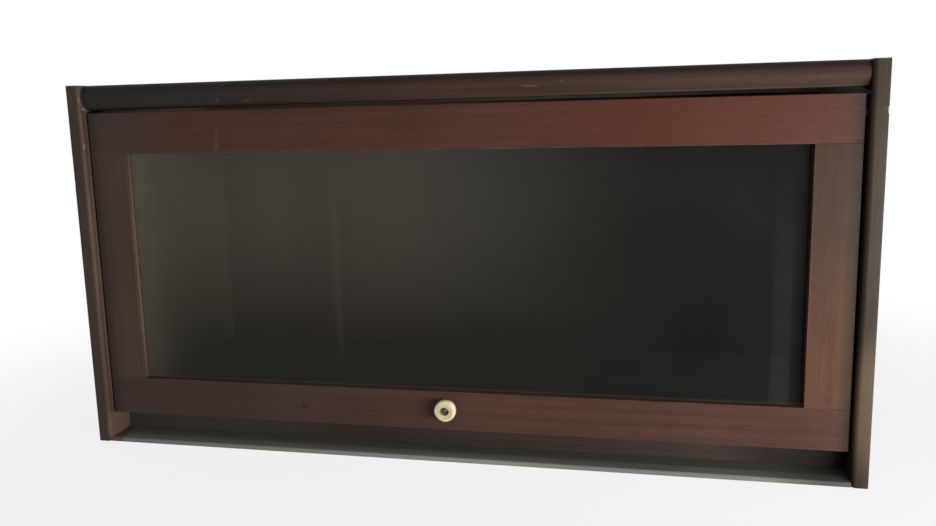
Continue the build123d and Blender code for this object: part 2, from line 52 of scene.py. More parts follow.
class Finish:
    """A material being mixed. Each method adds nodes and returns a socket."""

    def __init__(self, name):
        self.material = bpy.data.materials.new(name)
        self.material.use_nodes = True
        self.tree = self.material.node_tree
        self.tree.nodes.clear()
        self.place = self.add("TexCoord").outputs["Object"]

    def add(self, kind, inputs=None, **settings):
        """A shader node; an input is a number, a colour or another node's socket."""
        node = self.tree.nodes.new("ShaderNode" + kind)
        for setting, value in settings.items():
            setattr(node, setting, value)
        for key, value in (inputs or {}).items():
            if isinstance(value, bpy.types.NodeSocket):
                self.tree.links.new(value, node.inputs[key])
            elif node.inputs[key].type == "RGBA":
                node.inputs[key].default_value = (*value, 1.0)
            else:
                node.inputs[key].default_value = value
        return node

    def calc(self, operation, *values, clamp=False):
        """Arithmetic on one to three values."""
        node = self.add("Math", dict(enumerate(values)), operation=operation, use_clamp=clamp)
        return node.outputs[0]

    def mottle(self, scale, detail=3.0, roughness=0.5, shift=(0, 0, 0), warp=None):
        """Noise from 0 to 1, finer where scale (per metre, along X, Y and Z) is larger."""
        source = self.place if warp is None else warp
        spot = self.add("Mapping", {"Vector": source, "Location": shift, "Scale": scale})
        noise = self.add("TexNoise", {
            "Vector": spot.outputs[0],
            "Scale": 1.0,
            "Detail": detail,
            "Roughness": roughness,
        })
        return noise.outputs[0]

    def fade(self, value, low, high):
        """0 below low, 1 above high and smooth in between."""
        node = self.add("MapRange", {
            "Value": value,
            "From Min": low,
            "From Max": high,
        }, interpolation_type="SMOOTHSTEP")
        return node.outputs[0]

    def span(self, value, low, high):
        """A 0 to 1 value spread from low to high."""
        return self.add("MapRange", {"Value": value, "To Min": low, "To Max": high}).outputs[0]

    def blend(self, factor, first, second, kind="MIX"):
        """A mix of two colours, which are the node's inputs 6 and 7."""
        node = self.add("Mix", {0: factor, 6: first, 7: second}, data_type="RGBA", blend_type=kind)
        return node.outputs[2]

    def lay(self, colour, area, share, tint):
        """The colour with a tint laid over an area, as a share of 0 to 1."""
        return self.blend(self.calc("MULTIPLY", area, share), colour, tint)

    def spot(self, centre, size, softness=0.6):
        """1 in the middle of an ellipsoid, 0 outside it, and smooth in its outer part."""
        offset = self.add("VectorMath", {0: self.place, 1: centre}, operation="SUBTRACT")
        share = self.add("VectorMath", {0: offset.outputs[0], 1: size}, operation="DIVIDE")
        reach = self.add("VectorMath", {0: share.outputs[0]}, operation="LENGTH")
        return self.calc("SUBTRACT", 1.0, self.fade(reach.outputs["Value"], 1.0 - softness, 1.0))

    def facing(self, direction):
        """How far the surface faces that way, from -1 to 1."""
        normal = self.add("NewGeometry").outputs["Normal"]
        node = self.add("VectorMath", {0: normal, 1: direction}, operation="DOT_PRODUCT")
        return node.outputs["Value"]

    def arris(self, reach):
        """1 on corners and edges and 0 further than about reach from them."""
        rounded = self.add("Bevel", {"Radius": reach}, samples=6).outputs[0]
        normal = self.add("NewGeometry").outputs["Normal"]
        node = self.add("VectorMath", {0: normal, 1: rounded}, operation="DOT_PRODUCT")
        return self.fade(self.calc("SUBTRACT", 1.0, node.outputs["Value"]), 0.01, 0.14)

    def cover(self, shader):
        """The finished material, with that shader node over the whole surface."""
        output = self.add("OutputMaterial")
        self.tree.links.new(shader.outputs[0], output.inputs["Surface"])
        return self.material

    def surface(self, inputs, relief, depth):
        """The finished material, with a relief of that depth under its finish."""
        bump = self.add("Bump", {"Height": relief, "Distance": depth, "Strength": 1.0})
        shader = self.add("BsdfPrincipled", {**inputs, "Normal": bump.outputs[0]})
        return self.cover(shader)


def along(grain, length, width):
    """Scale with one value along the grain axis and another across it."""
    return tuple(length if axis == grain else width for axis in "XYZ")


# Dirt, light wear, painted shade, painted light, and patches where the stain took another way
mark_tints = {
    "red": (0.092, 0.053, 0.038),
    "grime_and_shade": (0.012, 0.008, 0.007),
    "dull": (0.052, 0.044, 0.038),
    "amber_and_light": (0.125, 0.083, 0.050),
    "soot_and_shade": (0.022, 0.018, 0.014),
    "umber": (0.022, 0.012, 0.007),
    "russet": (0.064, 0.018, 0.009),
    "chipped": (0.34, 0.30, 0.26),
    "ashen": (0.027, 0.025, 0.021),
}


def stained_wood(
    name, grain, stain, seed, rubbed=0.6, dusty=0.5, gloss=0.42, shine=0.14, marks=()
):
    """Fine-grained board, stained and varnished, with its fibres along the grain axis.

    Each mark is (kind, centre, size, amount): an ellipsoid in which the board is rubbed
    to bare wood or tinted. Some rubbed marks are painted light, and some tints painted shade."""
    finish = Finish(name)
    shift = (seed * 1.37, seed * 2.11, seed * 0.73)
    sway = 0.016
    drift = finish.add("TexNoise", {
        "Vector": finish.add("Mapping", {
            "Vector": finish.place,
            "Location": shift,
            "Scale": along(grain, 1.3, 6.0),
        }).outputs[0],
        "Scale": 1.0,
        "Detail": 2.0,
    }).outputs[1]
    pushed = finish.add("VectorMath", {
        0: drift,
        1: (sway, sway, sway),
        2: finish.place,
    }, operation="MULTIPLY_ADD").outputs[0]

    # Growth rings about a pith that lies off the board, broad streaks, and fine fibres
    rings = finish.add("TexWave", {
        "Vector": finish.add("Mapping", {
            "Vector": pushed,
            "Location": (0.11 + 0.01 * seed, 0.07, 0.13),
        }).outputs[0],
        "Scale": 26.0,
        "Distortion": 1.2,
        "Detail": 2.0,
        "Detail Scale": 1.1,
    }, wave_type="RINGS", rings_direction=grain).outputs[1]
    broad = finish.mottle(along(grain, 2.0, 110.0), 4.0, 0.65, shift, pushed)
    fibre = finish.mottle(along(grain, 12.0, 800.0), 3.0, 0.7, shift, pushed)
    pores = finish.fade(
        finish.mottle(along(grain, 110.0, 2100.0), 1.0, 0.5, shift, pushed), 0.60, 0.72
    )
    tone = finish.calc("MULTIPLY_ADD", rings, 0.07, finish.calc("MULTIPLY", broad, 0.55))
    tone = finish.calc("MULTIPLY_ADD", fibre, 0.38, tone)

    dark = tuple(0.68 * part for part in stain)
    light = (stain[0] * 1.30, stain[1] * 1.36, stain[2] * 1.36)
    shades = finish.add("ValToRGB", {0: tone})
    stops = shades.color_ramp.elements
    stops[0].position = 0.30
    stops[0].color = (*dark, 1.0)
    stops[1].position = 0.74
    stops[1].color = (*light, 1.0)
    stops.new(0.5).color = (*stain, 1.0)
    colour = finish.lay(shades.outputs[0], pores, 0.45, tuple(0.5 * part for part in dark))

    # Stain that took unevenly, in patches a hand wide
    cloud = finish.mottle((7.0, 7.0, 7.0), 3.0, 0.55, shift)
    colour = finish.blend(finish.fade(cloud, 0.35, 0.75), colour, (0.80, 0.76, 0.74), "MULTIPLY")

    # Corners rubbed through to paler wood, where a coarse noise lets them be
    wear_and_light = finish.calc(
        "MULTIPLY",
        finish.arris(0.0022),
        finish.fade(finish.mottle((26.0, 26.0, 26.0), 4.0, 0.65, shift), 0.40, 0.66),
    )
    wear_and_light = finish.calc("MULTIPLY", wear_and_light, rubbed)
    # Rubbed marks bare the wood, and some of them are painted light; some tinted marks are painted
    # shade
    for kind, centre, size, amount in marks:
        patch = finish.spot(centre, size)
        if kind == "rub":
            wear_and_light = finish.calc("MAXIMUM", wear_and_light, finish.calc("MULTIPLY", patch, amount))
        else:
            colour = finish.lay(colour, patch, amount, mark_tints[kind])
    bare_and_lit_wood = (0.20, 0.135, 0.092)
    colour = finish.blend(wear_and_light, colour, bare_and_lit_wood)

    # Dust that has settled on what faces up
    settled = finish.calc(
        "MULTIPLY",
        finish.fade(finish.facing((0, 0, 1)), 0.55, 0.98),
        finish.span(finish.mottle((38.0, 38.0, 38.0), 5.0, 0.7, shift), 0.25, 0.9),
    )
    settled = finish.calc("MULTIPLY", settled, dusty)
    dust = (0.16, 0.15, 0.135)
    colour = finish.blend(settled, colour, dust)

    # Varnish, duller where it is worn, painted lighter or dusty, over pores and fibres in slight
    # relief
    dulling = finish.mottle((60.0, 60.0, 60.0), 3.0, 0.6, shift)
    rough = finish.calc("MULTIPLY_ADD", dulling, 0.16, gloss - 0.08)
    rough = finish.calc("MULTIPLY_ADD", wear_and_light, 0.2, rough)
    rough = finish.calc("MULTIPLY_ADD", settled, 0.45, rough, clamp=True)
    relief = finish.calc("MULTIPLY_ADD", fibre, 0.35, finish.calc("MULTIPLY", broad, 0.5))
    relief = finish.calc("SUBTRACT", relief, finish.calc("MULTIPLY", pores, 0.5))
    return finish.surface({
        "Base Color": colour,
        "Roughness": rough,
        "Specular IOR Level": shine,
    }, relief, 0.00018)


def eased_board(node_name, piece_name, ease, material, body, nicks=(), droop=0.0):
    """The node's board again, with its sharp corners eased as sandpaper leaves them.

    Each nick is (centre, reach, push), a dent pushed into the board. droop is how much
    lower the underside lies at its left end than at its right."""
    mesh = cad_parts[node_name].data.copy()
    mesh.name = piece_name
    piece = bpy.data.objects.new(piece_name, mesh)
    bpy.context.scene.collection.objects.link(piece)
    shape = bmesh.new()
    shape.from_mesh(mesh)
    bmesh.ops.remove_doubles(shape, verts=shape.verts, dist=1e-6)
    bmesh.ops.dissolve_limit(
        shape, angle_limit=math.radians(0.4), verts=shape.verts, edges=shape.edges
    )
    for face in shape.faces:
        face.smooth = True
        face.material_index = 0
    if droop:
        # The underside goes down with the droop, and what is above it less and less
        low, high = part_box(node_name)
        drooping_height = 0.008
        for vertex in shape.verts:
            leftward = (high.x - vertex.co.x) / (high.x - low.x)
            downward = max(0.0, 1.0 - (vertex.co.z - low.z) / drooping_height)
            vertex.co.z -= droop * leftward * downward
    least_length = 0.021
    sharp_turn = math.radians(50)
    corners = []
    for edge in shape.edges:
        if len(edge.link_faces) != 2 or not edge.is_convex:
            continue
        if edge.calc_face_angle() < sharp_turn:
            continue
        reaches = [max(side.calc_length() for side in face.edges) for face in edge.link_faces]
        if min(reaches) > least_length:
            corners.append(edge)
    bmesh.ops.bevel(
        shape, geom=corners, offset=ease, offset_type="OFFSET", segments=3, profile=0.5,
        affect="EDGES", clamp_overlap=True,
    )
    for centre, reach, push in nicks:
        # Cuts through the board give the nick enough vertices to be pushed in
        cuts = [((0, 0, 1), step) for step in (-1.0, -0.4, 0.3, 1.0)]
        cuts += [((1, 0, 0), step) for step in (-1.0, -0.5)]
        cuts += [((0, 1, 0), step) for step in (0.5, 1.0)]
        for facing, step in cuts:
            bmesh.ops.bisect_plane(
                shape,
                geom=shape.verts[:] + shape.edges[:] + shape.faces[:],
                plane_co=Vector(centre) + Vector(facing) * step * reach,
                plane_no=facing,
                dist=1e-7,
            )
        for vertex in shape.verts:
            away = (vertex.co - Vector(centre)).length / reach
            if away < 1.0:
                vertex.co += Vector(push) * (1.0 - away * away)
    shape.to_mesh(mesh)
    shape.free()
    mesh.set_sharp_from_angle(angle=math.radians(40))
    even = piece.modifiers.new("even_shading", "WEIGHTED_NORMAL")
    even.keep_sharp = True
    mesh.materials.clear()
    mesh.materials.append(material)
    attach(piece, body)
    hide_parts(node_name)


case_stain = (0.052, 0.037, 0.029)
right_end_stain = (0.031, 0.021, 0.011)
end_low, end_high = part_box("left_end_panel")
end_thickness = 0.016
end_outer_x = -end_low.x
end_inner_x = end_outer_x - end_thickness
case_front_y = end_low.y
case_back_y = end_high.y
case_height = end_high.z
mid_height = case_height / 2

left_end_wood = stained_wood(
    "left_end_wood", "Z", case_stain, 1.0, rubbed=0.75, marks=(
        # The inner face is darkened as painted shade, and redder and thinly rubbed along its front
        # corner
        ("soot_and_shade", (-end_inner_x, 0.04, mid_height), (0.010, 0.20, 0.60), 0.72),
        ("red", (-end_inner_x + 0.001, case_front_y, mid_height), (0.006, 0.045, 0.60), 0.62),
        ("rub", (-end_inner_x, case_front_y + 0.003, 0.24), (0.0025, 0.006, 0.10), 0.16),
        # Bare wood beside the riser, and along the raised door's path, where it is also painted
        # light seen through the gap over the door; painted light in the shaded gap beside the
        # closed door
        ("rub", (-end_inner_x, case_front_y + 0.018, 0.018), (0.006, 0.036, 0.024), 0.42),
        ("rub", (-end_inner_x, 0.02, 0.3965), (0.005, 0.22, 0.012), 0.42),
        ("rub", (-end_inner_x, case_front_y + 0.0115, mid_height), (0.002, 0.006, 0.30), 0.42),
        # Chips in the front corner, near the top
        ("chipped", (-end_inner_x - 0.0008, case_front_y, 0.4035), (0.0016, 0.003, 0.0080), 0.4),
        ("chipped", (-end_inner_x, case_front_y + 0.0066, 0.3935), (0.0012, 0.0034, 0.0022), 0.5),
        ("chipped", (-end_inner_x, case_front_y + 0.0020, 0.3515), (0.0012, 0.0022, 0.0070), 0.6),
    ),
)
right_end_wood = stained_wood(
    "right_end_wood", "Z", right_end_stain, 2.0, rubbed=0.7, marks=(
        # Rubbed low down in front, browner above that, and darkened inside as painted shade
        ("rub", (end_outer_x, case_front_y, 0.085), (0.03, 0.02, 0.088), 0.255),
        ("umber", (end_outer_x, case_front_y, 0.235), (0.05, 0.06, 0.12), 0.80),
        ("grime_and_shade", (end_inner_x, 0.0, mid_height), (0.0045, 0.60, 3.0), 0.85),
    ),
)
corner_nick = ((end_outer_x, case_front_y, 0.3725), 0.004, (-0.0014, 0.001, 0))
eased_board("left_end_panel", "left_end", 0.0008, left_end_wood, "case")
eased_board(
    "right_end_panel", "right_end", 0.0008, right_end_wood, "case",
    nicks=(corner_nick,),
)


# ---- Top rails ----------------------------------------------------------------
# Two rails dowelled between the ends keep the open case square. The front one has
# a half-round nose that hands have scuffed, and its underside droops to the left, so
# that the gap over the door narrows there. The back one is plain.

front_rail_stain = (0.047, 0.027, 0.020)
# The back rail is stained paler than the case, partly as painted light where it shows through the
# gap over the door
back_rail_stain_and_light = (0.070, 0.052, 0.041)
nose_y = case_front_y + 0.005
front_rail_wood = stained_wood(
    "front_rail_wood", "X", front_rail_stain, 3.0, rubbed=0.3, dusty=0.0, gloss=0.52, shine=0.07,
    marks=(
        # Small scuffs on the nose, from left to right
        ("rub", (-0.2520, nose_y, 0.3945), (0.0015, 0.01, 0.0045), 0.24),
        ("rub", (-0.2495, nose_y, 0.3995), (0.0015, 0.01, 0.0045), 0.24),
        ("rub", (-0.215, nose_y, 0.3980), (0.007, 0.01, 0.0011), 0.26),
        ("rub", (0.096, nose_y, 0.4045), (0.013, 0.01, 0.0011), 0.3),
        ("rub", (0.128, nose_y, 0.4085), (0.003, 0.01, 0.0012), 0.3),
        # Greyer to the left, darkened on top as painted shade, and painted light underneath at the
        # right
        ("ashen", (-0.50, case_front_y, 0.408), (0.52, 0.10, 0.10), 0.78),
        ("grime_and_shade", (0, case_front_y + 0.02, case_height + 0.001), (3.0, 0.10, 0.010), 0.7),
        ("rub", (0.42, case_front_y + 0.026, 0.3950), (0.75, 0.030, 0.0035), 0.28),
    ),
)
back_rail_wood = stained_wood(
    "back_rail_wood", "X", back_rail_stain_and_light, 4.0, rubbed=0.3, dusty=0.3
)
rail_droop = 0.0033
eased_board(
    "top_front_rail", "front_rail", 0.0007, front_rail_wood, "case",
    droop=rail_droop,
)
eased_board("top_back_rail", "back_rail", 0.0007, back_rail_wood, "case")


# ---- Bottom board and risers --------------------------------------------------
# A thin board closes the case underneath and shows as a grey ledge in front, its
# bare wood dusty and matt. Two stained risers stand on it and carry the shelf.


ledge_front_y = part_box("bottom_board")[0].y
ledge_depth = 0.0185
ledge_z = 0.003


def dusty_board(name, grain, bare, stained, seed):
    """Unvarnished board, stained behind its ledge, partly as painted shade under the door, and
    greyer with dust towards its front.
    """
    finish = Finish(name)
    shift = (seed * 1.9, seed * 0.8, seed * 2.3)
    broad = finish.mottle(along(grain, 4.0, 120.0), 4.0, 0.6, shift)
    fibre = finish.mottle(along(grain, 20.0, 1100.0), 3.0, 0.7, shift)
    tone = finish.calc("MULTIPLY_ADD", fibre, 0.4, finish.calc("MULTIPLY", broad, 0.6))
    dark = tuple(0.62 * part for part in bare)
    light = tuple(1.25 * part for part in bare)
    colour = finish.blend(finish.fade(tone, 0.30, 0.70), dark, light)

    place = finish.add("SeparateXYZ", {0: finish.place}).outputs
    ledge_back_y = ledge_front_y + ledge_depth
    exposed = finish.fade(place["Y"], ledge_back_y, ledge_back_y - 0.0025)
    fore = finish.fade(place["Y"], ledge_back_y, ledge_front_y)
    leftward = finish.fade(place["X"], 0.15, -0.40)
    shade_towards_right = finish.spot((0.24, ledge_front_y, ledge_z), (0.24, 0.03, 0.02), 0.8)
    streaks = finish.mottle((22.0, 40.0, 22.0), 4.0, 0.7, shift)
    smear = finish.calc("MULTIPLY", finish.fade(streaks, 0.42, 0.68), exposed)
    top = finish.fade(finish.facing((0, 0, 1)), 0.4, 0.95)
    patches = finish.mottle((55.0, 55.0, 55.0), 3.0, 0.6, shift)
    scuff = finish.calc("MULTIPLY", finish.arris(0.0016), finish.fade(patches, 0.4, 0.6))
    corner_shade = finish.spot((end_inner_x, ledge_front_y, ledge_z), (0.097, 0.08, 0.02), 0.75)
    reddish_corner = finish.spot(
        (-end_inner_x - 0.002, ledge_front_y, ledge_z), (0.019, 0.046, 0.02), 0.25
    )

    # Dust, greyer at the left, painted shade darker towards the right and in the right-hand
    # corner, smeared on top, scuffed at the edges, and reddish in the left-hand corner
    colour = finish.blend(exposed, stained, colour)
    for area, share, tint in (
        (fore, 0.8, (0.25, 0.262, 0.215)),
        (leftward, 0.55, (0.175, 0.172, 0.150)),
        (shade_towards_right, 0.55, (0.080, 0.082, 0.074)),
        (finish.calc("MULTIPLY", smear, top), 0.5, (0.190, 0.187, 0.168)),
        (scuff, 0.55, (0.26, 0.25, 0.22)),
        (corner_shade, 0.80, (0.030, 0.029, 0.025)),
        (reddish_corner, 0.95, (0.118, 0.070, 0.050)),
    ):
        colour = finish.lay(colour, area, share, tint)
    relief = finish.calc("MULTIPLY_ADD", fibre, 0.5, finish.calc("MULTIPLY", broad, 0.5))
    return finish.surface({
        "Base Color": colour,
        "Roughness": finish.span(smear, 0.72, 0.9),
        "Specular IOR Level": 0.25,
    }, relief, 0.0003)


ledge_bare = (0.140, 0.134, 0.115)
ledge_stain = (0.096, 0.083, 0.067)
riser_stain = (0.038, 0.027, 0.021)
ledge_wood = dusty_board("ledge_wood", "X", ledge_bare, ledge_stain, 5.0)
eased_board("bottom_board", "ledge_board", 0.0005, ledge_wood, "case")
riser_y = case_front_y + 0.04
riser_wood = stained_wood(
    "riser_wood", "X", riser_stain, 6.0, rubbed=0.25, gloss=0.5, marks=(
        # Darkened at the right-hand end as painted shade, and paler and greyer at the left
        ("grime_and_shade", (end_inner_x, riser_y, 0.015), (0.14, 0.04, 0.04), 0.9),
        ("dull", (-0.45, riser_y, 0.015), (0.40, 0.10, 0.10), 0.85),
    ),
)
eased_board("front_riser", "front_riser_strip", 0.0006, riser_wood, "case")
eased_board("back_riser", "back_riser_strip", 0.0006, riser_wood, "case")


# ---- Shelf and its felt -------------------------------------------------------
# The shelf's ends sit in housings cut in the end panels. A strip of dark felt is
# glued along its front edge, and the closed door rests against it.

# The shelf is stained very dark, partly as painted shade inside the case
shelf_stain_and_shade = (0.019, 0.015, 0.012)
shelf_wood = stained_wood(
    "shelf_wood", "X", shelf_stain_and_shade, 7.0, rubbed=0.4, dusty=0.03, gloss=0.55
)
eased_board("shelf_board", "shelf", 0.0006, shelf_wood, "case")


def pressed_felt(name, wool):
    """Short matted fibres, with a nap that catches light at its edge."""
    finish = Finish(name)
    mat = finish.mottle((900.0, 900.0, 900.0), 4.0, 0.8)
    thick = finish.mottle((70.0, 70.0, 70.0), 3.0, 0.6)
    dark = tuple(0.6 * part for part in wool)
    light = tuple(1.6 * part for part in wool)
    colour = finish.blend(mat, dark, light)
    colour = finish.blend(finish.fade(thick, 0.4, 0.8), colour, (0.75, 0.73, 0.7), "MULTIPLY")
    relief = finish.calc("MULTIPLY_ADD", mat, 0.6, thick)
    return finish.surface({
        "Base Color": colour,
        "Roughness": finish.span(thick, 0.88, 0.98),
        "Specular IOR Level": 0.15,
        "Sheen Weight": 0.25,
        "Sheen Roughness": 0.6,
    }, relief, 0.0005)


def dress(node_name, material):
    """Gives a carried-over node its finish."""
    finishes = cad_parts[node_name].data.materials
    if not finishes:
        finishes.append(material)
    for index in range(len(finishes)):
        finishes[index] = material


felt_green = (0.022, 0.026, 0.022)
dress("shelf_felt", pressed_felt("felt", felt_green))


# ---- Back panel ---------------------------------------------------------------
# A thin board let into rabbets in the end panels and screwed on from behind. It
# was stained in a hurry and never varnished, so it stays dark and flat, and inside it is
# darker still as painted shade.

back_inner_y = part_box("back_panel")[0].y
back_stain = (0.050, 0.034, 0.025)
back_wood = stained_wood(
    "back_wood", "X", back_stain, 8.0, rubbed=0.2, dusty=0.2, gloss=0.7, marks=(
        # Darkened inside as painted shade, with a strip under the back rail left paler as painted
        # light
        ("grime_and_shade", (0, back_inner_y, mid_height), (3.0, 0.004, 3.0), 0.92),
        ("amber_and_light", (-0.42, back_inner_y, 0.397), (0.60, 0.003, 0.014), 0.7),
    ),
)
eased_board("back_panel", "back", 0.0005, back_wood, "case")


# ---- Dowels and screws of the case --------------------------------------------
# Beech dowels, hidden in the joints, hold the rails and risers to the ends.
# Slotted steel screws, sunk and dulled with age, hold the back and bottom boards.


def turned_beech(name, seed):
    """Bare pale wood with short dark flecks, fluted along the dowel."""
    finish = Finish(name)
    shift = (seed, seed * 1.3, seed * 0.6)
    fleck = finish.fade(finish.mottle((700.0, 700.0, 700.0), 2.0, 0.5, shift), 0.58, 0.7)
    cloud = finish.mottle((90.0, 90.0, 90.0), 3.0, 0.6, shift)
    colour = finish.blend(cloud, (0.36, 0.23, 0.13), (0.52, 0.36, 0.22))
    colour = finish.lay(colour, fleck, 0.5, (0.2, 0.11, 0.06))
    return finish.surface({
        "Base Color": colour,
        "Roughness": finish.span(cloud, 0.6, 0.75),
        "Specular IOR Level": 0.3,
    }, fleck, 0.0001)


def dull_metal(name, bright, stained, seed, rough=0.38, tarnish=0.6):
    """Turned metal with fine tool lines, tarnished in spots."""
    finish = Finish(name)
    shift = (seed * 3.1, seed * 1.7, seed * 2.9)
    lines = finish.mottle((300.0, 2600.0, 300.0), 2.0, 0.5, shift)
    spots = finish.mottle((240.0, 240.0, 240.0), 5.0, 0.7, shift)
    film = finish.calc("MULTIPLY", finish.fade(spots, 0.42, 0.66), tarnish)
    colour = finish.blend(film, bright, stained)
    polished = tuple(min(1.0, 1.4 * part) for part in bright)
    colour = finish.lay(colour, finish.arris(0.0006), 0.5, polished)
    lined = finish.span(lines, rough - 0.06, rough + 0.1)
    return finish.surface({
        "Base Color": colour,
        "Metallic": finish.calc("MULTIPLY_ADD", film, -0.5, 1.0),
        "Roughness": finish.calc("MULTIPLY_ADD", film, 0.35, lined),
    }, finish.calc("MULTIPLY_ADD", lines, 0.4, spots), 0.00006)


dowel_wood = turned_beech("dowel_wood", 9.0)
dress("case_dowels", dowel_wood)
old_steel = dull_metal("old_steel", (0.34, 0.33, 0.31), (0.10, 0.075, 0.055), 10.0)


def lathe(shape, outline, turns, place):
    """Rings of vertices turned from (radius, height) points, then closed at both ends."""
    rings = []
    for radius, height in outline:
        if radius == 0:
            rings.append([shape.verts.new(place @ Vector((0, 0, height)))])
            continue
        rings.append([
            shape.verts.new(place @ Vector((
                radius * math.cos(2 * math.pi * turn / turns),
                radius * math.sin(2 * math.pi * turn / turns),
                height,
            )))
            for turn in range(turns)
        ])
    for lower, upper in zip(rings, rings[1:]):
        for turn in range(turns):
            after = (turn + 1) % turns
            corners = [
                lower[turn % len(lower)], lower[after % len(lower)],
                upper[after % len(upper)], upper[turn % len(upper)],
            ]
            corners = list(dict.fromkeys(corners))
            shape.faces.new(corners)


def slotted_screws(node_name, piece_name, places, length):
    """Countersunk wood screws with a slot across the head, one at each place."""
    head_radius = 0.0036
    shank_radius = 0.00175
    rim = 0.0002
    sink = 0.0003
    slot_half = 0.0004
    slot_depth = 0.0011
    point_length = 0.004
    turns = 24
    mesh = bpy.data.meshes.new(piece_name)
    piece = bpy.data.objects.new(piece_name, mesh)
    bpy.context.scene.collection.objects.link(piece)
    shape = bmesh.new()
    for index, place in enumerate(places):
        before = set(shape.verts)
        lathe(shape, [
            (0, -sink),
            (head_radius * 0.55, -sink),
            (head_radius - rim, -sink),
            (head_radius, -sink - rim),
            (shank_radius, -sink - (head_radius - shank_radius)),
            (shank_radius, point_length - length),
            (0, -length),
        ], turns, Matrix.Identity(4))

        # The slot: two cuts across the head, and the strip between them goes down
        for offset in (-slot_half, slot_half):
            fresh = [vertex for vertex in shape.verts if vertex not in before]
            faces = {face for vertex in fresh for face in vertex.link_faces}
            edges = {edge for vertex in fresh for edge in vertex.link_edges}
            bmesh.ops.bisect_plane(
                shape,
                geom=fresh + list(edges) + list(faces),
                plane_co=(offset, 0, 0),
                plane_no=(1, 0, 0),
                dist=1e-7,
            )
        fresh = [vertex for vertex in shape.verts if vertex not in before]
        faces = {face for vertex in fresh for face in vertex.link_faces}
        strip = []
        for face in faces:
            middle = face.calc_center_median()
            on_head = face.normal.z > 0.9 or middle.z > -sink - 1e-6
            if on_head and abs(middle.x) < slot_half:
                strip.append(face)
        sunk = bmesh.ops.extrude_face_region(shape, geom=strip)
        dropped = [item for item in sunk["geom"] if isinstance(item, bmesh.types.BMVert)]
        bmesh.ops.translate(shape, verts=dropped, vec=(0, 0, -slot_depth))
        bmesh.ops.delete(shape, geom=strip, context="FACES_ONLY")

        # Each screw was driven until tight, so no two slots point the same way
        fresh = [vertex for vertex in shape.verts if vertex not in before]
        spin = Matrix.Rotation(math.radians(37.0 * index + 11.0), 4, "Z")
        bmesh.ops.transform(shape, matrix=place @ spin, verts=fresh)
    bmesh.ops.recalc_face_normals(shape, faces=shape.faces)
    for face in shape.faces:
        face.smooth = True
    shape.to_mesh(mesh)
    shape.free()
    mesh.set_sharp_from_angle(angle=math.radians(35))
    mesh.materials.append(old_steel)
    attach(piece, "case")
    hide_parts(node_name)


def screw_centres(node_name, axis):
    """Middles of a node's separate solids, across the screws' own axis."""
    shape = bmesh.new()
    shape.from_mesh(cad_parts[node_name].data)
    bmesh.ops.remove_doubles(shape, verts=shape.verts, dist=1e-6)
    left = set(shape.verts)
    centres = []
    while left:
        pool = [left.pop()]
        island = []
        while pool:
            vertex = pool.pop()
            island.append(vertex.co.copy())
            for edge in vertex.link_edges:
                other = edge.other_vert(vertex)
                if other in left:
                    left.remove(other)
                    pool.append(other)
        low = Vector(min(point[side] for point in island) for side in range(3))
        high = Vector(max(point[side] for point in island) for side in range(3))
        middle = (low + high) / 2
        middle["XYZ".index(axis)] = 0
        centres.append(middle)
    shape.free()
    return sorted(centres, key=lambda centre: [round(part, 4) for part in centre])


facing_back = Matrix.Rotation(math.radians(-90), 4, "X")
facing_down = Matrix.Rotation(math.radians(180), 4, "X")
back_screw_length = 0.022
bottom_screw_length = 0.018
slotted_screws(
    "back_screws", "back_wood_screws",
    [Matrix.Translation((centre.x, case_back_y, centre.z)) @ facing_back
     for centre in screw_centres("back_screws", "Y")],
    back_screw_length,
)
slotted_screws(
    "bottom_screws", "bottom_wood_screws",
    [Matrix.Translation((centre.x, centre.y, 0)) @ facing_down
     for centre in screw_centres("bottom_screws", "Z")],
    bottom_screw_length,
)


# ---- Door frame ---------------------------------------------------------------
# Two rails run the door's full width and two stiles stand between them on dowels.
# The frame is redder than the case, with a small knot and an old run in its varnish.

door_stain = (0.066, 0.026, 0.018)
door_low, door_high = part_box("door_top_rail")
door_front_y = door_low.y
opening_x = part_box("left_door_stile")[1].x
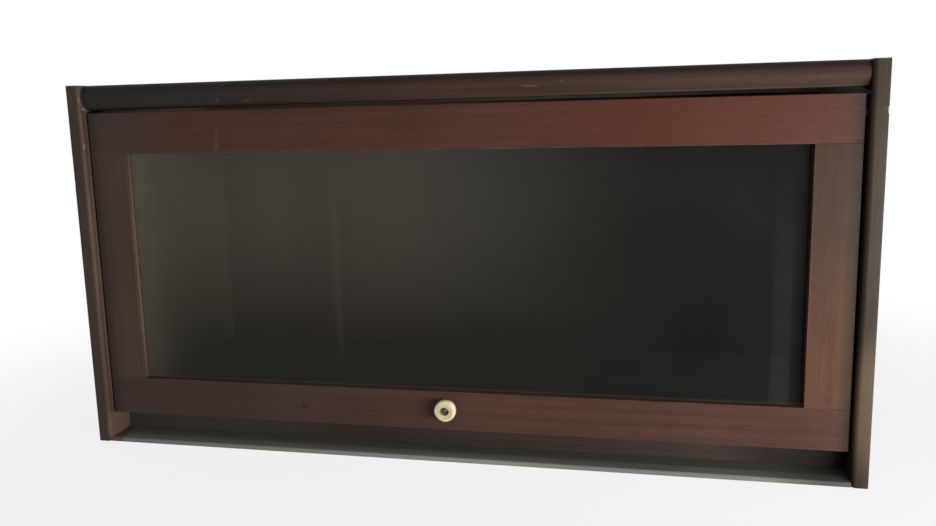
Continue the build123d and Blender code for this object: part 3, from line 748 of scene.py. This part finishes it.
# Painted shade darkens the door's left edge, and its right edge is darker too
shaded_edge = ("soot_and_shade", (door_low.x, door_front_y, mid_height), (0.015, 0.05, 3.0), 0.5)
darker_right_edge = ("soot_and_shade", (door_high.x, door_front_y, mid_height), (0.013, 0.05, 3.0), 0.5)
for node_name, grain, seed, stain, shine, marks in (
    ("door_top_rail", "X", 11.0, door_stain, 0.14, (
        # A run of old varnish, a duller left end, and a redder right half
        ("amber_and_light", (-0.2545, door_front_y, 0.366), (0.0018, 0.004, 0.011), 0.22),
        ("amber_and_light", (-0.2552, door_front_y, 0.357), (0.0032, 0.004, 0.010), 0.20),
        ("amber_and_light", (-0.2558, door_front_y, 0.3485), (0.0060, 0.004, 0.006), 0.26),
        ("dull", (-0.44, door_front_y, 0.38), (0.16, 0.03, 0.12), 0.5),
        ("russet", (0.40, door_front_y, 0.366), (0.36, 0.05, 0.20), 0.85),
        ("soot_and_shade", (0.43, door_front_y, 0.36), (0.08, 0.05, 0.10), 0.22),
        shaded_edge,
        darker_right_edge,
    )),
    ("door_bottom_rail", "X", 12.0, (0.064, 0.028, 0.020), 0.14, (
        # A duller left end, a browner patch right of the middle, and a small knot
        ("dull", (-0.44, door_front_y, 0.055), (0.52, 0.05, 0.12), 0.3),
        ("soot_and_shade", (-0.44, door_front_y, 0.055), (0.52, 0.05, 0.12), 0.15),
        ("umber", (0.20, door_front_y, 0.05), (0.10, 0.05, 0.06), 0.16),
        shaded_edge,
        darker_right_edge,
        ("grime_and_shade", (-0.168, door_front_y, 0.0547), (0.006, 0.004, 0.0045), 0.55),
    )),
    ("left_door_stile", "Z", 13.0, (0.066, 0.039, 0.029), 0.14, (
        # Bare wood on the inner corner beside the glass, which is also painted light there
        shaded_edge,
        ("rub", (opening_x, door_front_y + 0.0075, mid_height), (0.006, 0.0065, 0.22), 0.55),
    )),
    ("right_door_stile", "Z", 14.0, (0.074, 0.033, 0.017), 0.11, (
        # Browner towards the top, and thinly rubbed at the bottom
        ("umber", (0.39, door_front_y, 0.345), (0.20, 0.05, 0.19), 0.68),
        ("rub", (0.39, door_front_y, 0.08), (0.20, 0.05, 0.10), 0.06),
        darker_right_edge,
    )),
):
    board_wood = stained_wood(
        node_name + "_wood", grain, stain, seed, rubbed=0.45, dusty=0.0, shine=shine, marks=marks
    )
    eased_board(node_name, node_name + "_board", 0.0005, board_wood, "door")
dress("door_dowels", dowel_wood)


# ---- Glass and glazing beads --------------------------------------------------
# A pane of old sheet glass lies in the frame's rebate, with years of dust film on
# it. Four thin stained beads, pinned from behind, hold it in.


def old_glass(name):
    """Clear pane under a smeared film of dust, which also carries painted light at the left and in
    a band at the right, with more glint where it is seen aslant.
    """
    finish = Finish(name)
    pane_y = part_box("glass_pane")[0].y
    place = finish.add("SeparateXYZ", {0: finish.place}).outputs
    wiped = finish.mottle((28.0, 1.0, 5.0), 4.0, 0.6)
    patchy = finish.mottle((9.0, 1.0, 9.0), 3.0, 0.6, (3.0, 0.0, 1.0))

    # Dust lies thickest at the upper left, where it also paints the pane lighter and warmer as
    # painted light, and a streak runs down through it
    leftward = finish.fade(place["X"], 0.22, -0.08)
    far_left = finish.fade(place["X"], 0.0, -0.42)
    upward = finish.fade(place["Z"], 0.10, 0.29)
    dust = finish.calc("MULTIPLY", leftward, finish.calc("MULTIPLY_ADD", far_left, 0.35, 0.8))
    dust = finish.calc("MULTIPLY", dust, upward)
    dust = finish.calc("MULTIPLY", dust, finish.span(wiped, 0.75, 1.25))
    for area, amount in (
        (finish.fade(patchy, 0.35, 0.75), 0.04),
        (finish.fade(place["X"], 0.20, -0.35), 0.40),
        (finish.fade(place["X"], -0.28, -0.36), 0.40),
        (finish.fade(place["X"], -0.330, -0.366), 0.70),
        (finish.spot((-0.1245, pane_y, 0.205), (0.0075, 1.0, 0.16), 0.8), 0.25),
    ):
        dust = finish.calc("MULTIPLY_ADD", area, amount, dust)

    # An upright band of painted light near the right-hand edge, stronger towards its foot
    band = finish.calc(
        "MULTIPLY",
        finish.fade(place["X"], 0.334, 0.340),
        finish.fade(place["X"], 0.358, 0.354),
    )
    downward = finish.calc(
        "MULTIPLY_ADD",
        finish.fade(place["Z"], 0.16, 0.08),
        0.7,
        finish.fade(place["Z"], 0.32, 0.20),
    )
    band = finish.calc("MULTIPLY", band, downward)
    dust = finish.calc("MULTIPLY_ADD", band, finish.span(wiped, 0.08, 0.17), dust)
    dust = finish.calc("ADD", dust, finish.span(patchy, 0.0, 0.10))

    # What the pane sends back: its dust with the painted light in it, and a glint that grows as it
    # is seen aslant
    dust_cover = 0.041
    least_glint = 0.0079
    aslant_glint = 0.98
    facing = finish.add("LayerWeight", {"Blend": 0.5}).outputs["Facing"]
    glint = finish.calc(
        "MULTIPLY_ADD", finish.calc("POWER", facing, 5.0), aslant_glint, least_glint
    )
    share = finish.calc("ADD", finish.calc("MULTIPLY", dust, dust_cover), glint, clamp=True)
    clear = finish.add("BsdfTransparent", {"Color": (0.86, 0.89, 0.86)})
    film = finish.add("BsdfPrincipled", {
        "Base Color": finish.blend(leftward, (0.49, 0.485, 0.465), (0.54, 0.48, 0.39)),
        "Roughness": finish.span(patchy, 0.28, 0.42),
        "Specular IOR Level": 0.6,
    })
    whole = finish.add("MixShader", {0: share, 1: clear.outputs[0], 2: film.outputs[0]})
    return finish.cover(whole)


dress("glass_pane", old_glass("old_glass"))
for node_name, grain, seed in (
    ("top_glazing_bead", "X", 15.0),
    ("bottom_glazing_bead", "X", 16.0),
    ("left_glazing_bead", "Z", 17.0),
    ("right_glazing_bead", "Z", 18.0),
):
    bead_wood = stained_wood(node_name + "_wood", grain, door_stain, seed, rubbed=0.4)
    eased_board(node_name, node_name + "_strip", 0.0004, bead_wood, "door")
dress("glazing_pins", old_steel)


# ---- Knob and its screw -------------------------------------------------------
# The knob is a turned cream button on a short neck, its face a little dished and
# its rim worn out of round. One dark screw through its middle holds it to the door.


def yellowed_cream(name):
    """Old cream plastic or bone, yellowed, with grime round its neck, a darker hole, and painted
    shade on its left side.
    """
    finish = Finish(name)
    cloud = finish.mottle((160.0, 160.0, 160.0), 4.0, 0.6)
    craze = finish.mottle((900.0, 900.0, 900.0), 3.0, 0.7)
    low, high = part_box("knob")
    centre = (low + high) / 2
    face = finish.spot((centre.x, low.y, centre.z), (0.0112, 0.02, 0.0112), 0.35)
    shaded_left_side = finish.spot(
        (centre.x - 0.0105, low.y + 0.002, centre.z), (0.009, 0.02, 0.012), 0.6
    )
    hollow = finish.spot(
        (centre.x - 0.0016, low.y + 0.004, centre.z - 0.0009), (0.0056, 0.008, 0.0047), 0.22
    )
    neck = finish.spot((centre.x, high.y, centre.z), (0.02, 0.007, 0.02), 0.8)

    # The face has aged most, its left side is darkened as painted shade, its hole is darker,
    # and dirt sits round its neck and in fine cracks
    colour = finish.blend(finish.fade(cloud, 0.3, 0.7), (0.66, 0.575, 0.365), (0.75, 0.665, 0.455))
    aged = finish.calc("MULTIPLY", face, finish.span(cloud, 0.35, 1.1), clamp=True)
    colour = finish.blend(aged, colour, (0.60, 0.53, 0.27))
    colour = finish.lay(colour, shaded_left_side, 0.5, (0.35, 0.30, 0.20))
    colour = finish.lay(colour, hollow, 0.9, (0.085, 0.070, 0.050))
    colour = finish.lay(colour, neck, 0.6, (0.25, 0.2, 0.12))
    colour = finish.lay(colour, finish.fade(craze, 0.62, 0.72), 0.25, (0.35, 0.28, 0.15))
    return finish.surface({
        "Base Color": colour,
        "Roughness": finish.span(cloud, 0.42, 0.58),
        "Specular IOR Level": 0.3,
        "Subsurface Weight": 0.08,
        "Subsurface Radius": (0.004, 0.003, 0.002),
        "Subsurface Scale": 0.4,
    }, finish.calc("MULTIPLY_ADD", craze, 0.3, cloud), 0.00008)


def worn_knob(node_name, piece_name):
    """The knob turned about Y, with a rim that isn't quite round and a worn hole."""
    low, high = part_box(node_name)
    centre = (low + high) / 2
    radius = (high.x - low.x) / 2
    length = high.y - low.y
    neck_radius = 0.008
    hole_floor = 0.0105
    hole_depth = 0.004
    # (radius, distance from the door), from the back over the rim and into the hole
    outline = [
        (0.0020, 0.0000), (0.0078, 0.0000), (0.0080, 0.0006), (0.0072, 0.0018),
        (0.0066, 0.0032), (0.0066, 0.0046), (0.0080, 0.0058), (0.0105, 0.0062),
        (0.0119, 0.0070), (radius, 0.0084), (radius, 0.0124), (0.0122, 0.0138),
        (0.0115, 0.0146), (0.0105, length), (0.0092, 0.0149), (0.0076, 0.0146),
        (0.0064, 0.0145), (0.0057, 0.0144), (0.0052, 0.0138), (0.0049, 0.0128),
        (0.0045, 0.0108), (0.0038, 0.0105), (0.0020, 0.0105),
    ]
    rim_shift = Vector((-0.0003, 0, -0.0003))
    mouth_shift = Vector((-0.0013, 0, -0.0007))
    least_wear = 0.028
    uneven_wear = 0.040
    mouth_squash = 0.16
    turns = 72
    mesh = bpy.data.meshes.new(piece_name)
    piece = bpy.data.objects.new(piece_name, mesh)
    bpy.context.scene.collection.objects.link(piece)
    shape = bmesh.new()
    rings = []
    for ring_radius, out in outline:
        # How far a ring belongs to the rim or to the mouth of the hole, from 0 to 1
        rim = max(0.0, ring_radius - neck_radius) / (radius - neck_radius)
        mouth = max(0.0, 1.0 - rim) * max(0.0, out - hole_floor) / hole_depth
        squash = 1.0 - mouth_squash * mouth
        ring = []
        for turn in range(turns):
            angle = 2 * math.pi * turn / turns
            wobble = 0.5 + 0.3 * math.cos(3 * angle + 0.9) + 0.2 * math.cos(5 * angle - 0.6)
            real = ring_radius * (1.0 - rim * (least_wear + uneven_wear * wobble))
            ring.append(shape.verts.new(
                Vector((
                    centre.x + real * math.cos(angle),
                    high.y - out,
                    centre.z + real * squash * math.sin(angle),
                )) + rim_shift * rim + mouth_shift * mouth
            ))
        rings.append(ring)
    rings.append(rings[0])
    for lower, upper in zip(rings, rings[1:]):
        for turn in range(turns):
            after = (turn + 1) % turns
            shape.faces.new((lower[turn], lower[after], upper[after], upper[turn]))
    bmesh.ops.recalc_face_normals(shape, faces=shape.faces)
    for face in shape.faces:
        face.smooth = True
    shape.to_mesh(mesh)
    shape.free()
    soft = piece.modifiers.new("soft", "SUBSURF")
    soft.levels = 1
    soft.render_levels = 1
    mesh.materials.append(yellowed_cream("knob_cream"))
    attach(piece, "door")
    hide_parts(node_name)


worn_knob("knob", "door_knob")
screw_steel = dull_metal("screw_steel", (0.18, 0.133, 0.083), (0.045, 0.030, 0.018), 19.0, 0.42)
dress("knob_screw", screw_steel)


# ---- Pivot pins, bushes and rollers -------------------------------------------
# A blackened steel pin turns in a brass bush at each top corner of the door. Its
# roller runs along a groove in the end panel, so that the lifted door slides back.

dull_brass = dull_metal("dull_brass", (0.58, 0.42, 0.18), (0.22, 0.14, 0.07), 20.0, 0.34, 0.5)
roller_steel = dull_metal("roller_steel", (0.10, 0.095, 0.09), (0.04, 0.032, 0.026), 21.0, 0.5, 0.6)
for side in ("left", "right"):
    dress(side + "_pivot_pin", roller_steel)
    dress(side + "_roller", roller_steel)
    dress(side + "_pivot_bush", dull_brass)


# ---- Studio -------------------------------------------------------------------
# The case stands on a plain white floor. One large soft lamp stands at the right,
# in front, so that the light falls off towards the left. Two low ones light the
# back and the left end.


def seen_directly(finish):
    """1 for what is seen straight, mirrored or through glass, and 0 for lighting."""
    path = finish.add("LightPath")
    seen = finish.calc(
        "MAXIMUM", path.outputs["Is Camera Ray"], path.outputs["Is Glossy Ray"]
    )
    return finish.calc("MAXIMUM", seen, path.outputs["Is Transmission Ray"])


def pale_floor():
    """Matt white, whiter still away from the object, with the object's shadow on it."""
    finish = Finish("floor_white")
    distance = finish.add("VectorMath", {0: finish.place}, operation="LENGTH")
    far = finish.span(finish.fade(distance.outputs["Value"], 0.5, 1.1), 0.82, 1.0)
    grain = finish.mottle((40.0, 40.0, 40.0), 3.0)
    paint = finish.blend(grain, (0.80, 0.80, 0.80), (0.83, 0.83, 0.83))
    matt = finish.add("BsdfDiffuse", {"Color": paint})
    glow = finish.add("Emission", {"Color": (1.0, 1.0, 1.0), "Strength": 1.0})
    share = finish.calc("MULTIPLY", far, seen_directly(finish))
    both = finish.add("MixShader", {0: share, 1: matt.outputs[0], 2: glow.outputs[0]})
    return finish.cover(both)


floor_reach = 8.0
floor_z = -0.0002
floor_mesh = bpy.data.meshes.new("floor")
floor = bpy.data.objects.new("floor", floor_mesh)
bpy.context.scene.collection.objects.link(floor)
shape = bmesh.new()
for x, y in ((-1, -1), (1, -1), (1, 1), (-1, 1)):
    shape.verts.new((x * floor_reach, y * floor_reach, floor_z))
shape.faces.new(shape.verts)
shape.to_mesh(floor_mesh)
shape.free()
floor_mesh.materials.append(pale_floor())

# The room is white where it is seen, and lights the case only faintly
world = bpy.data.worlds.new("studio")
world.use_nodes = True
bpy.context.scene.world = world
room = world.node_tree
rays = room.nodes.new("ShaderNodeLightPath").outputs
seen = rays["Is Camera Ray"]
for kind in ("Is Glossy Ray", "Is Transmission Ray"):
    either = room.nodes.new("ShaderNodeMath")
    either.operation = "MAXIMUM"
    room.links.new(seen, either.inputs[0])
    room.links.new(rays[kind], either.inputs[1])
    seen = either.outputs[0]
strength = room.nodes.new("ShaderNodeMapRange")
strength.inputs["To Min"].default_value = 0.22
strength.inputs["To Max"].default_value = 1.0
background = room.nodes["Background"]
background.inputs["Color"].default_value = (1.0, 1.0, 1.0, 1.0)
room.links.new(seen, strength.inputs["Value"])
room.links.new(strength.outputs[0], background.inputs["Strength"])


def soft_lamp(name, place, target, width, height, watts):
    """A wide soft box at place that shines at target."""
    data = bpy.data.lights.new(name, "AREA")
    data.shape = "RECTANGLE"
    data.size = width
    data.size_y = height
    data.energy = watts
    lamp = bpy.data.objects.new(name, data)
    lamp.location = place
    lamp.rotation_euler = (Vector(target) - Vector(place)).to_track_quat("-Z", "Y").to_euler()
    lamp.visible_camera = False
    bpy.context.scene.collection.objects.link(lamp)


soft_lamp("key", (0.88, -0.80, 0.16), (0.15, -0.1, 0.2), 0.80, 0.28, 14.6)
soft_lamp("back_fill", (-0.2, 1.60, 0.21), (0.0, case_back_y, mid_height), 1.40, 0.28, 15.0)
soft_lamp("left_fill", (-1.70, 0.30, 0.21), (-end_outer_x, 0.0, mid_height), 0.60, 0.28, 10.0)

camera_data = bpy.data.cameras.new("camera")
camera_data.lens = 33.5325
camera_data.sensor_width = 36.0
camera = bpy.data.objects.new("camera", camera_data)
camera.location = (0.22430, -1.04842, 0.37705)
camera_turns = (80.3642, 1.3435, 12.2544)
camera.rotation_euler = Euler([math.radians(turn) for turn in camera_turns], "XYZ")
bpy.context.scene.collection.objects.link(camera)
bpy.context.scene.camera = camera
bpy.context.scene.view_settings.view_transform = "Standard"
